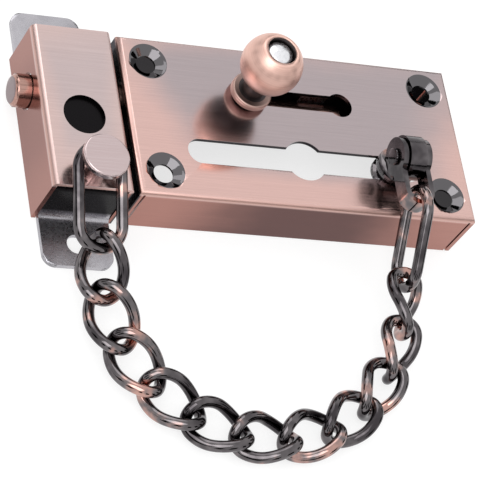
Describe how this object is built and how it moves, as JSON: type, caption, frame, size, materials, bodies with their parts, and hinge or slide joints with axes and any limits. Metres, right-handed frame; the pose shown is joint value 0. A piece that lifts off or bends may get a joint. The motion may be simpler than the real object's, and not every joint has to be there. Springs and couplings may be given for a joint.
{
  "type": "door chain",
  "caption": "Door chain with a sliding bolt: slotted sheet case, separate keeper with a chain stud, and a twisted-link chain ending in a slider that runs in the case's slot.",
  "frame": {"origin": "midway between the keeper's two screw holes, on the face that meets the door frame", "axes": "+X along the case away from the keeper, +Y up the door, +Z out of the door"},
  "size_m": [0.1289, 0.1331, 0.0392],
  "materials": {
    "copper": "brushed, plated in a pinkish copper tone",
    "black_nickel": "smooth black-nickel plating, copper rubbed through on some bends",
    "bright": "bright"
  },
  "bodies": {
    "mounting": {"case": "copper", "bolt_strap_left": "black_nickel", "bolt_strap_right": "black_nickel", "keeper_cover": "copper", "keeper_bracket": "black_nickel", "chain_stud": "copper"},
    "bolt": {"bolt": "copper", "knob_spindle": "bright", "knob_spring": "bright"},
    "knob": {"knob": "copper"},
    "slider": {"slider": "black_nickel", "stirrup_pin": "black_nickel"},
    "stirrup": {"stirrup": "black_nickel"},
    "long_link_left": {"long_link_left": "black_nickel"},
    "link_01": {"link_01": "black_nickel"},
    "link_02": {"link_02": "black_nickel"},
    "link_03": {"link_03": "black_nickel"},
    "link_04": {"link_04": "black_nickel"},
    "link_05": {"link_05": "black_nickel"},
    "link_06": {"link_06": "black_nickel"},
    "link_07": {"link_07": "black_nickel"},
    "link_08": {"link_08": "black_nickel"},
    "link_09": {"link_09": "black_nickel"},
    "link_10": {"link_10": "black_nickel"},
    "link_11": {"link_11": "black_nickel"},
    "long_link_right": {"long_link_right": "black_nickel"}
  },
  "joints": [
    {"name": "bolt_slide", "type": "slide", "parent": "mounting", "child": "bolt", "axis": [1, 0, 0], "range_m": [0, 0.028]},
    {"name": "knob_lift", "type": "slide", "parent": "bolt", "child": "knob", "axis": [0, 0, 1], "range_m": [-0.0013, 0.0008], "deforming": ["knob_spring"]},
    {"name": "slider_slide", "type": "slide", "parent": "mounting", "child": "slider", "axis": [1, 0, 0], "range_m": [-0.027, 0.0035]},
    {"name": "stirrup_swing", "type": "hinge", "parent": "slider", "child": "stirrup", "pos_m": [0.0902, -0.0115, 0.0252], "axis": [1, 0, 0], "range_deg": [0, 6]},
    {"name": "long_link_left_turn", "type": "hinge", "parent": "mounting", "child": "long_link_left", "pos_m": [0, -0.0205, 0], "axis": [0, 0, 1], "range_deg": [-4.35, 0.58]},
    {"name": "link_01_turn", "type": "hinge", "parent": "long_link_left", "child": "link_01", "pos_m": [0.00117, -0.0379, 0.01353], "axis": [0, 0, 1], "range_deg": [-16.34, 2.14]},
    {"name": "link_02_turn", "type": "hinge", "parent": "link_01", "child": "link_02", "pos_m": [0.00132, -0.05071, 0.00958], "axis": [0, 0, 1], "range_deg": [-0.56, 4.17]},
    {"name": "link_03_turn", "type": "hinge", "parent": "link_02", "child": "link_03", "pos_m": [0.00539, -0.06322, 0.00705], "axis": [0, 0, 1], "range_deg": [-0.55, 4.08]},
    {"name": "link_04_turn", "type": "hinge", "parent": "link_03", "child": "link_04", "pos_m": [0.0131, -0.07409, 0.00562], "axis": [0, 0, 1], "range_deg": [-0.53, 3.92]},
    {"name": "link_05_turn", "type": "hinge", "parent": "link_04", "child": "link_05", "pos_m": [0.02374, -0.08221, 0.00498], "axis": [0, 0, 1], "range_deg": [-0.51, 3.8]},
    {"name": "link_06_turn", "type": "hinge", "parent": "link_05", "child": "link_06", "pos_m": [0.03633, -0.0868, 0.00481], "axis": [0, 0, 1], "range_deg": [-0.51, 3.79]},
    {"name": "link_07_turn", "type": "hinge", "parent": "link_06", "child": "link_07", "pos_m": [0.04971, -0.08743, 0.00481], "axis": [0, 0, 1], "range_deg": [-0.52, 3.89]},
    {"name": "link_08_turn", "type": "hinge", "parent": "link_07", "child": "link_08", "pos_m": [0.06268, -0.08404, 0.00494], "axis": [0, 0, 1], "range_deg": [-0.55, 4.09]},
    {"name": "link_09_turn", "type": "hinge", "parent": "link_08", "child": "link_09", "pos_m": [0.07404, -0.07696, 0.00547], "axis": [0, 0, 1], "range_deg": [-0.58, 4.32]},
    {"name": "link_10_turn", "type": "hinge", "parent": "link_09", "child": "link_10", "pos_m": [0.08275, -0.06684, 0.00664], "axis": [0, 0, 1], "range_deg": [-0.6, 4.48]},
    {"name": "link_11_turn", "type": "hinge", "parent": "link_10", "child": "link_11", "pos_m": [0.08801, -0.05469, 0.00872], "axis": [0, 0, 1], "range_deg": [-0.59, 4.44]},
    {"name": "long_link_right_turn", "type": "hinge", "parent": "link_11", "child": "long_link_right", "pos_m": [0.08938, -0.04176, 0.01196], "axis": [0, 0, 1], "range_deg": [-12.81, 1.68]}
  ],
  "couplings": [
    {"joint": "long_link_left_turn", "follows": "slider_slide", "rad_per_m": 2.8018},
    {"joint": "link_01_turn", "follows": "slider_slide", "rad_per_m": 10.552},
    {"joint": "link_02_turn", "follows": "slider_slide", "rad_per_m": -2.6832},
    {"joint": "link_03_turn", "follows": "slider_slide", "rad_per_m": -2.6224},
    {"joint": "link_04_turn", "follows": "slider_slide", "rad_per_m": -2.5224},
    {"joint": "link_05_turn", "follows": "slider_slide", "rad_per_m": -2.4459},
    {"joint": "link_06_turn", "follows": "slider_slide", "rad_per_m": -2.4338},
    {"joint": "link_07_turn", "follows": "slider_slide", "rad_per_m": -2.5},
    {"joint": "link_08_turn", "follows": "slider_slide", "rad_per_m": -2.6299},
    {"joint": "link_09_turn", "follows": "slider_slide", "rad_per_m": -2.7801},
    {"joint": "link_10_turn", "follows": "slider_slide", "rad_per_m": -2.8823},
    {"joint": "link_11_turn", "follows": "slider_slide", "rad_per_m": -2.8563},
    {"joint": "long_link_right_turn", "follows": "slider_slide", "rad_per_m": 8.2666}
  ]
}
